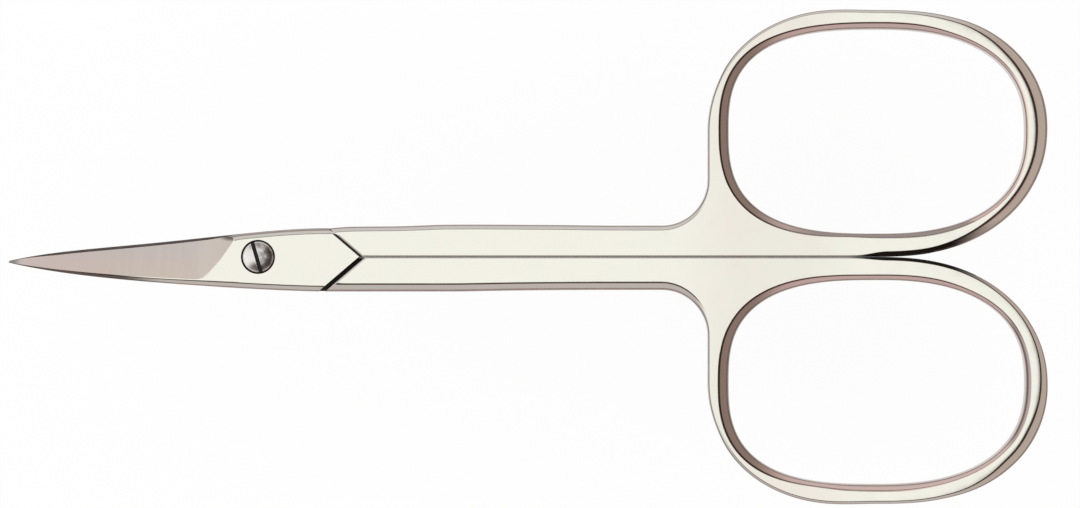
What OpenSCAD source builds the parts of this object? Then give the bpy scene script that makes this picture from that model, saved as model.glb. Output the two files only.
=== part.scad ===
// Cuticle scissors: two crossing halves on a slotted pivot screw.
// X runs along the closed scissors, with the tips at -X and the bows at +X.
// Y runs across the bows, and Z rises from the rest face to the screw head.
// The pivot axis is the Z axis. Lengths are in millimetres.

/* [Blades] */
// Distance from the pivot axis to the tips
blade_reach = 21.4; // [17:0.1:28]
// How far the tips bend up towards the screw head side
tip_rise = 3.2; // [1:0.1:5]
// Distance from the pivot axis at which the blades start to bend
bend_start = 5; // [4:0.1:6]
// Sideways place of the tips, measured from the centre line
tip_y = -0.42; // [-0.6:0.01:0]
// Width left at the very tip
tip_w = 0.12; // [0.08:0.01:0.25]
// Fullness of the outline on the upper side of the blades
upper_fullness = 1.75; // [1.4:0.05:2]
// Fullness of the outline on the lower side of the blades
lower_fullness = 2.9; // [2.5:0.05:3.2]
// Thickness of each blade's back at the tip
tip_t = 0.42; // [0.3:0.01:0.6]
// Thickness left along each cutting edge
edge_t = 0.12; // [0.08:0.01:0.2]
// Share of a blade's width that stays unground along its back
back_share = 0.16; // [0.1:0.01:0.3]
// How far each cutting edge stops short of the other blade's back
edge_setback = 0.12; // [0.05:0.01:0.25]
// Distance from the pivot axis to the end of the ground face, along the cutting edge
grind_end = 2.2; // [1.8:0.1:3]
// Length over which the ground face runs out into the joint
grind_runout = 3.2; // [2:0.1:5]

/* [Joint] */
// Thickness of the two halves together at the joint
joint_t = 3; // [2.8:0.1:4]
// Distance from the centre line to the upper edge of the joint
joint_upper = 2.52; // [2.3:0.01:2.6]
// Distance from the centre line to the lower edge of the joint
joint_lower = 2.96; // [2.7:0.01:3.1]
// Distance from the pivot axis to the point of the V, on the head-side half's shoulder
head_shoulder_x = 9.1; // [8:0.05:12]
// Distance from the pivot axis to the point of the V, on the thread-side half's shoulder
thread_shoulder_x = 9.35; // [8:0.05:12]
// Angle between each arm of the V and the centre line
shoulder_angle = 40.5; // [35:0.5:50]
// Gap between the end of each joint and the shoulder that faces it
shoulder_gap = 0.4; // [0.3:0.01:0.7]
// How far the joint's face on the head side lies below the face of the shank
joint_step = 0.12; // [0.05:0.01:0.25]
// Running gap between the two halves where they cross
face_gap = 0.05; // [0.04:0.01:0.1]
// Radius along the outer edges of the joint
joint_edge_r = 0.6; // [0.2:0.05:0.6]

/* [Shanks] */
// Width of the shank of the head-side half
head_shank_w = 2.73; // [2.65:0.01:3.4]
// Width of the shank of the thread-side half
thread_shank_w = 2.93; // [2.65:0.01:3.4]
// Radius along the outer edge of each shank
shank_edge_r = 0.65; // [0.3:0.05:0.9]
// Radius along the inner edges, where the two shanks meet
inner_edge_r = 0.13; // [0.05:0.01:0.3]
// Gap between the two shanks when the scissors are closed
shank_gap = 0.07; // [0.04:0.01:0.2]

/* [Bows] */
// Distance from the pivot axis to the middle of the finger holes
bow_x = 53.75; // [46:0.25:70]
// Distance from the centre line to the middle of each finger hole
bow_y = 10.9; // [10.6:0.1:13]
// Length of each finger hole
hole_l = 25.8; // [22:0.1:30]
// Width of each finger hole
hole_w = 17.75; // [15:0.05:18]
// Width of the rod round the ends of each hole
rod_end_w = 1.8; // [1.6:0.02:2.6]
// Width of the rod along the outer side of each hole
rod_side_w = 1.66; // [1.6:0.02:2.6]
// Squareness of the hole's corners at the shank end, where 2 is an ellipse
shank_end_squareness = 2.8; // [2.3:0.05:3.5]
// Squareness of the hole's corners at the far end, where 2 is an ellipse
far_end_squareness = 2.45; // [2.3:0.05:3]
// How much rounder the rim is than the hole, in squareness
rim_softening = 0.25; // [0:0.05:0.3]
// Radius between the shank and the bow
neck_r = 4; // [2.5:0.1:5]
// Radius along the edge of each hole, on its broad side towards the shank and the rim
hole_edge_r = 0.74; // [0.4:0.02:0.78]
// Radius along the rest of the hole's edge
fine_hole_edge_r = 0.3; // [0.2:0.02:0.4]
// Radius along the edge of the rim
rim_edge_r = 0.28; // [0.2:0.02:0.5]
// Radius along the edge of the rim at the far end of the bow
far_rim_edge_r = 1.1; // [0.5:0.05:1.2]
// Thickness of the bows at their far end
bow_end_t = 2.4; // [2:0.1:2.8]

/* [Pivot screw] */
// Radius of the screw head
head_r = 1.38; // [1.2:0.01:1.5]
// Thickness of the screw head
head_t = 0.6; // [0.5:0.01:0.7]
// Depth of the screw head's rim below the face of the joint
head_recess = 0.14; // [0.05:0.01:0.2]
// Height of the low dome on the screw head
head_dome = 0.16; // [0.05:0.01:0.25]
// Gap round the screw head
head_gap = 0.09; // [0.05:0.01:0.15]
// Radius of the plain bearing part of the screw
bearing_r = 0.95; // [0.8:0.01:1.1]
// Running clearance round the bearing part
bearing_gap = 0.03; // [0.02:0.005:0.06]
// Radius of the threaded part, as a plain cylinder
thread_r = 0.8; // [0.6:0.01:0.9]
// Depth of the screw's lower end inside the rest face
end_recess = 0.08; // [0.02:0.01:0.2]
// Bevel round the lower end
screw_bevel = 0.1; // [0.05:0.01:0.15]
// Width of the screwdriver slot
slot_w = 0.42; // [0.2:0.01:0.5]
// Depth of the screwdriver slot
slot_depth = 0.42; // [0.2:0.01:0.5]
// Turn of the slot from the Y axis
slot_turn = 16; // [-90:1:90]

/* [Hidden] */
$fn = 64;

mid_z = joint_t / 2;
joint_face_z = joint_t - joint_step;
shoulder_x = max(head_shoulder_x, thread_shoulder_x);
tongue_x = shoulder_x + 2;
joint_end_x = 7.2;
curve_x = -8.5;
bend_length = blade_reach - bend_start;
bend_r = (bend_length * bend_length + tip_rise * tip_rise) / (2 * tip_rise);
// How softly the ground face starts to run out, where 0 is a straight ramp
runout_softness = 0.25;
taper_x = shoulder_x + 3;
neck_x = bow_x - hole_l / 2 - rod_end_w;
shank_end_x = neck_x - neck_r;
far_end_x = bow_x + hole_l / 2 + rod_end_w;
// Turn of the rim over which its edge grows from the inner edge's radius to its own
parting_turn = 40;
// Direction of the middle of the hole's broad edge
broad_turn = 142;
// Turn from there to where the edge has become fine, and the turn over which it changes
broad_reach = 112;
fade_turn = 36;
// How far each joint runs on inside its own shank
tongue_bite = 0.7;
// Largest edge radius, as a share of the rod's width or thickness
edge_share = 0.46;
// Least width of the flat face between the edges of the rod
flat_w = 0.1;
// Steps along the outlines and round the edges
blade_steps = 30;
ring_steps = 54;
neck_steps = 8;
side_steps = 3;
web_steps = 10;
corner_steps = 5;
dome_steps = 6;
edge_angles = [0, 30, 60, 90];
edge_count = len(edge_angles);
BIG = 60;

function unit(v) = v / norm(v);
function mix(a, b, t) = a + (b - a) * t;
function ease(t) = let(u = max(0, min(1, t))) u * u * (3 - 2 * u);
// A curve from a to b that leans towards c
function lean(a, c, b, t) = (1 - t) * (1 - t) * a + 2 * t * (1 - t) * c + t * t * b;
function reversed(v) = [for (i = [len(v) - 1:-1:0]) v[i]];

// Side is 1 for the head-side half and -1 for the thread-side half, which is turned over about X.
// Two triangles over four corners, given clockwise as seen from outside
function quad(a, b, c, d) = [[a, b, c], [a, c, d]];
function flat(lists) = [for (l = lists) each l];

// Outline of the closed blades. A row holds x, the upper edge, the lower edge and the edge setback.

function outline_rows() = concat(
    [[tongue_x, joint_upper, -joint_lower, edge_setback]],
    [for (i = [0:blade_steps])
        let(t = i / blade_steps)
        [lean(joint_end_x, curve_x, -blade_reach, t),
         lean(joint_upper, upper_fullness, tip_y + tip_w / 2, t),
         lean(-joint_lower, -lower_fullness, tip_y - tip_w / 2, t),
         mix(edge_setback, tip_w / 4, t)]]
);
// Height of the surface on which the two halves slide, level at the joint and then bending up
function slide_rise(x, y) = let(d = norm([x, y]) - bend_start)
    x >= 0 || d <= 0 ? 0 : bend_r - sqrt(bend_r * bend_r - d * d);
// Thickness of one half at the joint, and of its blade before grinding
function joint_half_t(side) = mid_z - face_gap / 2 - (side > 0 ? joint_step : 0);
function blank_t(x, side) =
    mix(joint_half_t(side), tip_t, max(0, -x - grind_end) / (blade_reach - grind_end));

// One cross-section of a blade and joint, from the cutting edge to the back
function blade_section(row, side) =
    let(
        x = row[0],
        edge_y = side > 0 ? row[1] - row[3] : row[2] + row[3],
        back_y = side > 0 ? row[2] : row[1],
        w = abs(back_y - edge_y),
        thick = blank_t(x, side),
        r = min(joint_edge_r, 0.22 * w, 0.45 * thick),
        ground_w = w * (1 - back_share),
        run = max(0, 1 + (x + grind_end) / grind_runout),
        lift = (thick - edge_t) * run * run * (1 + runout_softness) / (run + runout_softness),
        ground = function(d) edge_t + lift + (thick - edge_t) * d / ground_w,
        crest = max(1.1 * r, min(w - 1.1 * r, ground_w * (thick - edge_t - lift) / (thick - edge_t))),
        top = concat(
            [for (a = edge_angles) [r * (1 - cos(a)), thick - r * (1 - sin(a))]],
            [[crest, thick]],
            [for (a = reversed(edge_angles)) [w - r * (1 - cos(a)), thick - r * (1 - sin(a))]]
        ),
        cut = [for (q = top) [q[0], min(q[1], ground(q[0]))]],
        loop = concat([[0, 0]], cut, [[w, 0]])
    )
    [for (q = loop)
        let(y = mix(edge_y, back_y, q[0] / w))
        [x, y, mid_z + slide_rise(x, y) + side * (face_gap / 2 + q[1])]];

module blade_and_joint(side) {
    sections = [for (row = outline_rows()) blade_section(row, side)];
    n = len(sections[0]);
    last = len(sections) - 1;
    walls = flat([for (i = [0:last - 1], j = [0:n - 1])
        quad(i * n + j, i * n + (j + 1) % n, (i + 1) * n + (j + 1) % n, (i + 1) * n + j)]);
    ends = concat(
        [for (j = [1:n - 2]) [0, j + 1, j]],
        [for (j = [1:n - 2]) [last * n, last * n + j, last * n + j + 1]]
    );
    polyhedron(points = flat(sections), faces = concat(walls, ends));
}

// Outlines of the shank and bow. A station holds a point, the direction into the metal and an edge radius.

// An oval is its half length, half width and squareness
function oval_r(a, o) = pow(pow(abs(cos(a)) / o[0], o[2]) + pow(abs(sin(a)) / o[1], o[2]), -1 / o[2]);
function oval_normal(p, o) =
    unit([for (k = [0, 1]) sign(p[k]) * pow(abs(p[k]) / o[k], o[2] - 1) / o[k]]);
function squareness(a) = cos(a) > 0 ? far_end_squareness : shank_end_squareness;
// Half length, half width and squareness of the hole and of the rim, in direction a
function hole_oval(a) = [hole_l / 2, hole_w / 2, squareness(a)];
function rim_oval(a) = [
    hole_l / 2 + rod_end_w,
    sin(a) > 0 ? hole_w / 2 + rod_side_w : bow_y - shank_gap / 2,
    squareness(a) - rim_softening
];
// The rod's width in direction a, and its edge radii there, which its width and thickness limit
function rod_w(a) = oval_r(a, rim_oval(a)) - oval_r(a, hole_oval(a));
function hole_r(a) =
    let(turn = abs((a - broad_turn + 540) % 360 - 180))
    min(mix(fine_hole_edge_r, hole_edge_r, ease((broad_reach - turn) / fade_turn)), edge_share * rod_w(a));
function rim_r(a) =
    let(grown = mix(rim_edge_r, far_rim_edge_r, pow(max(0, cos(a)), 3)))
    min(grown, rod_w(a) - hole_r(a) - flat_w, edge_share * bow_end_t);
function hole_station(a) =
    let(o = hole_oval(a), p = oval_r(a, o) * [cos(a), sin(a)])
    [p + [bow_x, bow_y], oval_normal(p, o), hole_r(a)];
function rim_station(a) =
    let(o = rim_oval(a), p = oval_r(a, o) * [cos(a), sin(a)])
    [p + [bow_x, bow_y], -oval_normal(p, o), mix(inner_edge_r, rim_r(a), ease((a + 90) / parting_turn))];

function neck_station(i, w) =
    let(t = i / neck_steps, way = [cos(90 * t - 90), sin(90 * t - 90)])
    [[shank_end_x, w + neck_r] + neck_r * way, way, mix(shank_edge_r, rim_r(180), t)];
// The shank's outer line, from inside the joint to halfway round the neck
function outer_line(w) = concat(
    [for (x = [shoulder_x - 6, taper_x]) [[x, w], [0, -1], shank_edge_r]],
    [for (i = [0:neck_steps / 2]) neck_station(i, w)]
);
function centre_line(xs) = [for (x = xs) [[x, shank_gap / 2], [0, 1], inner_edge_r]];
// The way round the bow, from the end of the shank's centre line back to the end of its outer line
function rim(w) =
    let(start_x = neck_station(neck_steps / 2, w)[0][0])
    concat(
        centre_line([for (i = [1:web_steps - 1]) mix(start_x, bow_x, i / web_steps)]),
        [for (i = [0:ring_steps]) rim_station(mix(-90, 180, i / ring_steps))],
        [for (i = [1:side_steps - 1])
            [[neck_x, mix(bow_y, w + neck_r, i / side_steps)], [1, 0], rim_r(180)]],
        [for (i = [neck_steps:-1:neck_steps / 2 + 1]) neck_station(i, w)]
    );

function upper_face_z(x) =
    x < taper_x ? joint_t : mix(joint_t, bow_end_t, (x - taper_x) / (far_end_x - taper_x));
// The points round one edge, from the face at end -1 to the face at end 1
function edge_points(station, side) =
    [for (end = [-1, 1], i = [0:edge_count - 1])
        let(
            a = edge_angles[end < 0 ? edge_count - 1 - i : i],
            p = station[0] + station[1] * station[2] * (1 - cos(a)),
            inside = station[2] * (1 - sin(a))
        )
        [p[0], side * p[1], side * end > 0 ? upper_face_z(p[0]) - inside : inside]];

module shank_and_bow(side, w) {
    outer = outer_line(w);
    m = len(outer);
    chain = concat(centre_line([for (s = outer) s[0][0]]), rim(w), reversed(outer));
    count = len(chain);
    first = m - 1;
    last = count - m;
    turn_to = function(i) atan2(chain[i][0][1] - bow_y, chain[i][0][0] - bow_x);
    hole = concat(
        [for (i = [first:last]) hole_station(turn_to(i))],
        [for (j = [1:corner_steps - 1]) hole_station(mix(turn_to(last), turn_to(first), j / corner_steps))]
    );
    k = 2 * edge_count;
    points = flat([for (s = concat(chain, hole)) edge_points(s, side)]);
    in = function(i) count + i - first;
    // The hole's stations at the corner where shank, neck and web meet, in one fan from the neck
    corner = function(j) j == corner_steps ? in(first) : in(last) + j;
    edge_wall = function(a, b) flat([for (j = [0:k - 2])
        quad(a * k + j, a * k + j + 1, b * k + j + 1, b * k + j)]);
    fan_faces = function(a, b, c) [[a * k + k - 1, c * k + k - 1, b * k + k - 1], [a * k, b * k, c * k]];
    faces_between = function(a, b, c, d) concat(fan_faces(a, b, c), fan_faces(a, c, d));
    polyhedron(points = points, faces = concat(
        flat([for (i = [0:count - 2]) edge_wall(i, i + 1)]),
        flat([for (i = [first:last - 1]) edge_wall(in(i + 1), in(i))]),
        flat([for (j = [0:corner_steps - 1]) edge_wall(corner(j + 1), corner(j))]),
        flat([for (i = [0:m - 2]) faces_between(i, i + 1, count - 2 - i, count - 1 - i)]),
        flat([for (i = [first:last - 1]) faces_between(i, i + 1, in(i + 1), in(i))]),
        fan_faces(last, first, in(first)),
        flat([for (j = [0:corner_steps - 1]) fan_faces(last, corner(j + 1), corner(j))]),
        flat([for (j = [0:k - 2])
            quad((count - 1) * k + j, (count - 1) * k + j + 1, j + 1, j)])
    ));
}

// Plan shapes that cut the V-shaped shoulders, for the side of the centre line that they are on

function shoulder_point(side) = side > 0 ? head_shoulder_x : thread_shoulder_x;
function arm(x, y) = [x - y / tan(shoulder_angle), y];
module shoulder_waste(side) {
    tip_x = shoulder_point(side);
    translate([0, 0, -BIG / 2])
        linear_extrude(BIG)
            scale([1, side])
                polygon([arm(tip_x, -1), arm(tip_x, 2 * joint_t), [-BIG, 2 * joint_t], [-BIG, -1]]);
}
module joint_plan(side) {
    gap_x = shoulder_point(-side) - shoulder_gap / sin(shoulder_angle);
    tongue_end = shoulder_point(side) + tongue_bite;
    translate([0, 0, -BIG / 2])
        linear_extrude(BIG)
            scale([1, side])
                polygon([
                    [-BIG, BIG / 2], [-BIG, -BIG / 2],
                    [gap_x - BIG / 2 / tan(shoulder_angle), -BIG / 2], [gap_x, 0],
                    arm(tongue_end, tongue_bite / 2), arm(tongue_end, BIG / 2)
                ]);
}

module half(side, w) {
    union() {
        difference() {
            shank_and_bow(side, w);
            shoulder_waste(side);
        }
        intersection() {
            blade_and_joint(side);
            joint_plan(side);
        }
    }
}

// The screw: head in the head-side half, bearing part through it, thread in the thread-side half
head_rim_z = joint_face_z - head_recess;
head_seat_z = head_rim_z - head_t;
dome_r = (head_r * head_r + head_dome * head_dome) / (2 * head_dome);
function dome_z(r) = head_rim_z + head_dome - dome_r + sqrt(dome_r * dome_r - r * r);

module head_side_half() {
    color([0.93, 0.92, 0.88])
        difference() {
            half(1, head_shank_w);
            translate([0, 0, mid_z - joint_t])
                cylinder(r = bearing_r + bearing_gap, h = 2 * joint_t);
            translate([0, 0, head_seat_z])
                cylinder(r = head_r + head_gap, h = joint_t);
        }
}

module thread_side_half() {
    color([0.91, 0.91, 0.88])
        difference() {
            half(-1, thread_shank_w);
            translate([0, 0, mid_z - joint_t])
                cylinder(r = thread_r, h = 2 * joint_t);
        }
}

module pivot_screw() {
    thread_top_z = mid_z - face_gap / 2;
    color([0.8, 0.79, 0.77])
        difference() {
            rotate_extrude()
                polygon([
                    [0, end_recess], [thread_r - screw_bevel, end_recess],
                    [thread_r, end_recess + screw_bevel], [thread_r, thread_top_z],
                    [bearing_r, thread_top_z], [bearing_r, head_seat_z], [head_r, head_seat_z],
                    for (i = [0:dome_steps]) let(r = head_r * (1 - i / dome_steps)) [r, dome_z(r)]
                ]);
            rotate(slot_turn)
                translate([-slot_w / 2, -2 * head_r, head_rim_z + head_dome - slot_depth])
                    cube([slot_w, 4 * head_r, 2 * slot_depth]);
        }
}

head_side_half();
thread_side_half();
pivot_screw();
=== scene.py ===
import math

import bmesh
import bpy
import numpy as np
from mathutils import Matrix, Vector


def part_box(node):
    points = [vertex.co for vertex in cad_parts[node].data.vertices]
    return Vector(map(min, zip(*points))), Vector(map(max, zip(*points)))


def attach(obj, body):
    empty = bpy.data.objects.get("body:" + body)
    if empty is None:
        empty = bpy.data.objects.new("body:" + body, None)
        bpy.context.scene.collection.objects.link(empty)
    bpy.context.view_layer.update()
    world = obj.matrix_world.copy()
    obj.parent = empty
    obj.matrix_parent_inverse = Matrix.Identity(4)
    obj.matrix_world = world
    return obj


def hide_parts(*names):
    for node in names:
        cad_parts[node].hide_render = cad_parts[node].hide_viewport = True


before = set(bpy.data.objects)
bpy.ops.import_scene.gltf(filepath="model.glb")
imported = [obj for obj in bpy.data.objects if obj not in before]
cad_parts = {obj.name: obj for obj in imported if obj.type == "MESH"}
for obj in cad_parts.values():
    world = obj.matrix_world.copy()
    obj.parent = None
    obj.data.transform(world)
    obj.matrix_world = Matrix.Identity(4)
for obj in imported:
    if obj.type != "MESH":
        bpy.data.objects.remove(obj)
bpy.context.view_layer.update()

# Cuticle scissors, seen from straight above as they lie closed over a pale sheet.
# Shapes are worked out in millimetres and become metres when a mesh is made.

MM = 0.001


def box_mm(node):
    """The lowest and highest corners of a CAD node."""
    return [np.array(corner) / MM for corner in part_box(node)]


head_low, head_high = box_mm("head_side_half")

# Blades
blade_reach = -head_low[0]
tip_rise = 3.2
bend_start = 5.0
tip_t = 0.42
edge_t = 0.12
back_share = 0.14
# How far a cutting edge stays inside the other blade's back, as stops of (x, distance)
edge_setback = [(-21.0, 0.05), (-17.0, 0.22), (-4.5, 0.22), (-1.0, 0.04)]
back_bevel_w = 0.24
back_bevel_h = 0.1
# Limits on a blade's rounded edges and back bevel, as shares of its width or thickness
edge_w_share = 0.22
edge_t_share = 0.45
back_bevel_share = 0.3
grind_end = 1.8
grind_runout = 3.6
runout_softness = 0.45
# The grinding wheel's start, its reach across the blade in blade widths, its height off the slide
# face, and how far it runs past the tip
wheel_start_x = -0.5
wheel_reach = (-0.4, 1.3)
wheel_top = 4.0
wheel_overrun = 0.5
# Middle guide place along the blade for its two outlines
curve_x = -8.5

# Joint
joint_t = 3.0
mid_z = joint_t / 2
joint_step = 0.12
face_gap = 0.05
joint_end_x = 7.2
# Guide points across the blade, from the joint's end to the tip, for its two outlines
upper_line = [2.47, 2.74, 0.58, 1.23, -0.345]
lower_line = [-3.03, -3.02, -2.16, -2.08, -0.495]
joint_edge_r = 0.6
shoulder_x = {1: 9.1, -1: 9.35}
shoulder_slope = math.tan(math.radians(40.5))
shoulder_gap = {1: 0.4, -1: 0.06}
shoulder_reach = 6.0
shoulder_polish_y = 2.0
tongue_bite = 0.7
tongue_root_y = 0.06
corner_groove_w = 0.2
corner_groove_depth = 0.14
corner_groove_y = (-0.3, 1.98)
corner_groove_bite = 0.02
corner_relief_depth = 0.25
corner_relief_y = 0.1
corner_relief_w = 0.1
corner_relief_bite = 0.01
shoulder_bevel_w = 0.13
shoulder_bevel_h = 0.07
shoulder_bevel_start_y = -0.05
shoulder_bevel_end_y = {1: 1.9, -1: 3.2}

# Shanks
# Distance of the shanks' outer sides from the centre line, as stops of (x, distance)
shank_sides = {
    1: [(5.4, 2.45), (7.8, 2.61), (12.5, 2.67), (16.5, 2.8), (26.0, 2.77), (31.0, 2.72)],
    -1: [(16.5, 3.02), (22.5, 2.93), (30.5, 2.88)],
}
shank_edge_w = {1: 0.54, -1: 0.86}
inner_edge_w = 0.13
shank_gap = 0.07
touch_gap = 0.004

# Bows
bow_x = 53.75
bow_y = 10.9
hole_half_l = 12.9
hole_half_w = 8.875
rod_end_w = 1.8
rod_side_w = head_high[1] - bow_y - hole_half_w
shank_end_squareness = 2.8
far_end_squareness = 2.45
rim_softening = 0.25
neck_r = 4.0
bow_end_t = 2.4
rim_edge_w = 0.28
# Widths of the bows' rounded edges and how far the rim swells out of its oval, as stops of
# (degrees round the bow, millimetres): 0 at the far end, 90 at the outer side, -90 at the centre line
rim_edges = {
    1: [(-70, 0.5), (-36, 0.98), (0, 1.1), (14, 1.1), (30, 0.93), (40, 0.68), (50, 0.48), (60, 0.4),
        (86, 0.28)],
    -1: [(-66, 0.32), (-22, 0.44), (0, 0.7), (15, 0.93), (28, 0.96), (40, 0.66), (54, 0.38),
         (86, 0.28)],
}
hole_edges = {
    1: [(-90, 0.46), (-60, 0.56), (-40, 0.48), (-20, 0.36), (0, 0.36), (30, 0.36), (50, 0.48),
        (66, 0.68), (90, 0.73), (128, 0.7), (155, 0.88), (180, 0.97), (208, 0.84), (234, 0.6),
        (254, 0.4), (270, 0.46)],
    -1: [(-90, 0.56), (-60, 0.58), (-40, 0.46), (-15, 0.5), (0, 0.58), (30, 0.5), (50, 0.57),
         (76, 0.72), (104, 0.68), (122, 0.56), (150, 0.9), (180, 1.05), (202, 0.93), (224, 0.76),
         (250, 0.6), (270, 0.56)],
}
rim_swell = [(-90, 0.0), (-54, 0.11), (-20, -0.02), (0, 0.13), (15, 0.2), (30, 0.31), (45, 0.33),
             (62, 0.17), (90, 0.0), (122, 0.19), (160, -0.3), (180, 0.0)]
# Height of a rounded edge as a share of its width
edge_flatness = 0.7
# Where the bows start to part, and over what length their inner edges then widen
parting_x = 51.9
parting_l = 2.8
# Up to which turn, from the centre line at -90 degrees, each rim's wall is unpolished and painted
# dark as shade
painted_shade_wall_turn = {1: math.radians(-66), -1: math.radians(-48)}
flat_w = 0.1
# The rims part from the centre line by an opening times a power of the distance past bow_x
wedge_opening = 0.0134
wedge_power = 2.2
# The squarish oval inside which the edge of a finger hole gets painted reflection and shade
tint_x = 53.5
tint_half_l = 13.8
tint_half_w = 9.9
tint_squareness = 2.5

# Pivot screw
head_r = 1.36
head_t = 0.6
head_recess = 0.14
head_dome = 0.16
head_gap = 0.12
bearing_r = 0.95
bearing_gap = 0.03
thread_r = 0.8
thread_pitch = 0.35
thread_depth = 0.12
thread_overlap = 0.2
# Radius of the thread's triangular ridge, as a share of the thread's depth
ridge_share = 0.75
end_recess = 0.08
head_bevel = 0.04
head_rounding = 0.1
head_rounding_share = 0.3
slot_w = 0.34
slot_offset = -0.12
slot_depth = 0.42
slot_turn = math.radians(16)

# Worked out from the sizes above
joint_face_z = joint_t - joint_step
taper_x = max(shoulder_x.values()) + 3
neck_x = bow_x - hole_half_l - rod_end_w
shank_end_x = neck_x - neck_r
far_end_x = bow_x + hole_half_l + rod_end_w
bend_length = blade_reach - bend_start
bend_r = (bend_length**2 + tip_rise**2) / (2 * tip_rise)
head_rim_z = joint_face_z - head_recess
head_seat_z = head_rim_z - head_t
dome_r = (head_r**2 + head_dome**2) / (2 * head_dome)
# How far out the large cutting solids reach, beyond the tips, sides and faces, and how far the
# small ones reach past the surface that they cut
BIG = 60.0
OVERLAP = 1.0

ARC_STEPS = 14
STEEP_STEPS = 6
RING_STEPS = 240
WEB_STEPS = 36
NECK_STEPS = 18
CORNER_STEPS = 12
SIDE_STEPS = 6
STRIP_STEPS = 60
BLADE_STEPS = 130
WHEEL_STEPS = 22
DOME_STEPS = 16
HEAD_STEPS = 128
ROUND_STEPS = 96
THREAD_STEPS = 48
SHARP_TURN = math.radians(26)
MERGE_DISTANCE = 2e-8

# Numbers of the materials on a shank and bow, and on a blade's blank
FACE, SLIDING, WALL, UNPOLISHED_PAINTED_SHADE = range(4)
BLANK_FACE, BLANK_WALL, BLANK_SLIDING, BLANK_BEVEL = range(4)


def mix(a, b, t):
    """The value that is a share t of the way from a to b."""
    return a + (b - a) * t


def ease(t):
    """A smooth rise from 0 to 1 as t goes from 0 to 1."""
    t = min(max(t, 0.0), 1.0)
    return t * t * (3 - 2 * t)


def guided(values, t):
    """A smooth curve from the first guide value to the last, drawn towards those between."""
    while len(values) > 1:
        values = [mix(a, b, t) for a, b in zip(values, values[1:])]
    return values[0]


def along(stops, at):
    """The value at a place on a smooth curve through stops of (place, value), level at both ends."""
    at = min(max(at, stops[0][0]), stops[-1][0])
    i = sum(at > place for place, _ in stops[1:-1])
    (a, low), (b, high) = stops[i:i + 2]
    third = (b - a) / 3
    guides = [low, low + third * slope(stops, i), high - third * slope(stops, i + 1), high]
    return guided(guides, (at - a) / (b - a))


def slope(stops, i):
    """How fast the value changes at a stop, from the stops on both sides of it."""
    if i == 0 or i == len(stops) - 1:
        return 0.0
    (a, low), (b, high) = stops[i - 1], stops[i + 1]
    return (high - low) / (b - a)


def arc():
    """Turns through a rounded edge, from the wall to the face, in radians."""
    return [math.pi / 2 * i / ARC_STEPS for i in range(ARC_STEPS + 1)]


# Node helpers


def calculate(tree, operation, *values):
    """A maths node over numbers and sockets."""
    made = tree.nodes.new("ShaderNodeMath")
    made.operation = operation
    for socket, value in zip(made.inputs, values):
        if isinstance(value, (int, float)):
            socket.default_value = value
        else:
            tree.links.new(value, socket)
    return made.outputs[0]


def times(tree, first, *others):
    """The product of some numbers and sockets."""
    for other in others:
        first = calculate(tree, "MULTIPLY", first, other)
    return first


def add_node(tree, kind, values, **settings):
    """A node with these settings, and values or links on its named inputs; gives its first output."""
    made = tree.nodes.new(kind)
    for name, value in settings.items():
        setattr(made, name, value)
    for name, value in values.items():
        for single in (value if isinstance(value, list) else [value]):
            if isinstance(single, bpy.types.NodeSocket):
                tree.links.new(single, made.inputs[name])
            else:
                made.inputs[name].default_value = single
    return made.outputs[0]


def fade(tree, value, start, end):
    """A smooth rise from 0 where value is start to 1 where it is end."""
    made = tree.nodes.new("ShaderNodeMapRange")
    made.interpolation_type = "SMOOTHSTEP"
    made.inputs["From Min"].default_value = start
    made.inputs["From Max"].default_value = end
    tree.links.new(value, made.inputs["Value"])
    return made.outputs["Result"]


def stretch(tree, value, start, full, waning, end):
    """A smooth rise to 1 between start and full, and a fall back to 0 between waning and end."""
    return times(tree, fade(tree, value, start, full), fade(tree, value, end, waning))


def ramp(tree, value, stops):
    """A colour ramp over value, whose stops are (place, colour or grey)."""
    made = tree.nodes.new("ShaderNodeValToRGB")
    elements = made.color_ramp.elements
    while len(elements) < len(stops):
        elements.new(0.5)
    for element, (place, colour) in zip(elements, stops):
        element.position = place
        element.color = (*([colour] * 3 if isinstance(colour, float) else colour), 1)
    tree.links.new(value, made.inputs["Fac"])
    return made.outputs["Color"]


def two_tone(tree, texture, first, second, places=(0.3, 0.7)):
    """A ramp from one colour or grey to another over the middle of a texture's range."""
    return ramp(tree, texture, list(zip(places, (first, second))))


def blend(tree, factor, a, b):
    """Colour a where factor is 0 and colour b where it is 1, each a socket or three numbers."""
    made = tree.nodes.new("ShaderNodeMix")
    made.data_type = "RGBA"
    for name, value in (("Factor", factor), ("A", a), ("B", b)):
        if isinstance(value, tuple):
            value = plain(tree, value)
        tree.links.new(value, made.inputs[name])
    return made.outputs["Result"]


def plain(tree, colour):
    """One colour, as a socket."""
    made = tree.nodes.new("ShaderNodeRGB")
    made.outputs[0].default_value = (*colour, 1)
    return made.outputs[0]


def mapped(tree, coords, scale):
    """Object coordinates stretched by scale, which counts features per metre along each axis."""
    mapping = tree.nodes.new("ShaderNodeMapping")
    mapping.inputs["Scale"].default_value = scale
    tree.links.new(coords, mapping.inputs["Vector"])
    return mapping.outputs["Vector"]


def places_mm(tree, coords):
    """Object coordinates as three numbers in millimetres."""
    split = tree.nodes.new("ShaderNodeSeparateXYZ")
    tree.links.new(mapped(tree, coords, (1 / MM,) * 3), split.inputs[0])
    return split.outputs


def noise(tree, vector, scale, detail=2.0):
    """Cloudy noise with this many features per unit of vector."""
    texture = tree.nodes.new("ShaderNodeTexNoise")
    texture.inputs["Scale"].default_value = scale
    texture.inputs["Detail"].default_value = detail
    tree.links.new(vector, texture.inputs["Vector"])
    return texture.outputs["Fac"]


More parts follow.
